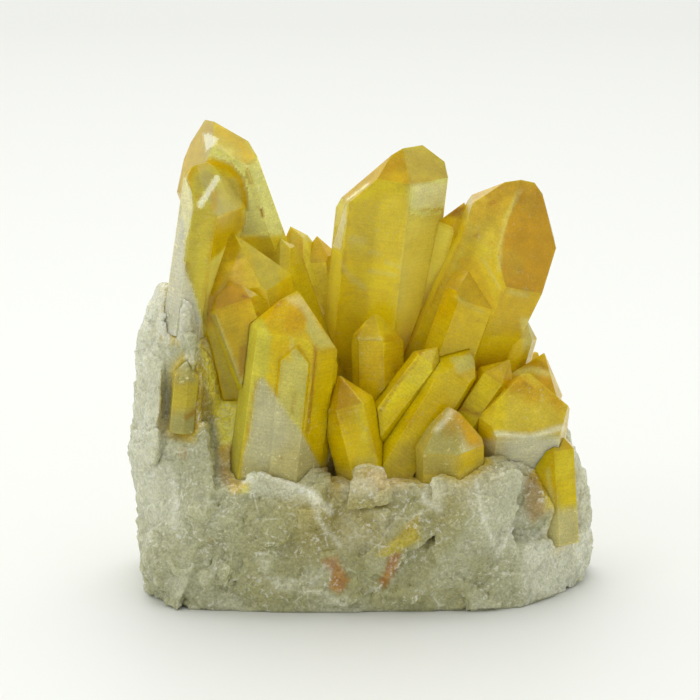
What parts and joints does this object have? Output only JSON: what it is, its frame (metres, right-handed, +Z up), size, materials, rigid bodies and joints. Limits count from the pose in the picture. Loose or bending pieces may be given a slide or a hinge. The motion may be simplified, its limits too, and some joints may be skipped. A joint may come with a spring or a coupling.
{
  "type": "tangerine quartz cluster",
  "caption": "Upright cluster of golden yellow quartz points standing in a broken block of milky quartz, cut flat to rest on.",
  "frame": {"origin": "on the flat resting face, under the middle of the cluster's bounding box", "axes": "+Z up; the side that shows the most points faces -Y; +X is to its right, the long way of the block"},
  "size_m": [0.0714, 0.0442, 0.0703],
  "materials": {
    "golden_quartz": "natural crystal faces, shiny, yellow inside with an orange skin",
    "milky_quartz": "broken milky quartz, waxy to glassy, with rust stains"
  },
  "bodies": {
    "root": {"front_left_points": "golden_quartz", "small_front_point": "golden_quartz", "leaning_bar_point": "golden_quartz", "broad_slanted_point": "golden_quartz", "front_stub_point": "golden_quartz", "blunt_right_points": "golden_quartz", "small_centre_point": "golden_quartz", "right_tall_points": "golden_quartz", "left_tall_points": "golden_quartz", "centre_tall_point": "golden_quartz", "right_recess_point": "golden_quartz", "left_flank_point": "golden_quartz", "back_twin_points": "golden_quartz", "back_left_points": "golden_quartz", "back_middle_points": "golden_quartz", "back_low_points": "golden_quartz", "back_right_points": "golden_quartz", "back_corner_point": "golden_quartz", "milky_block": "milky_quartz"}
  },
  "joints": []
}
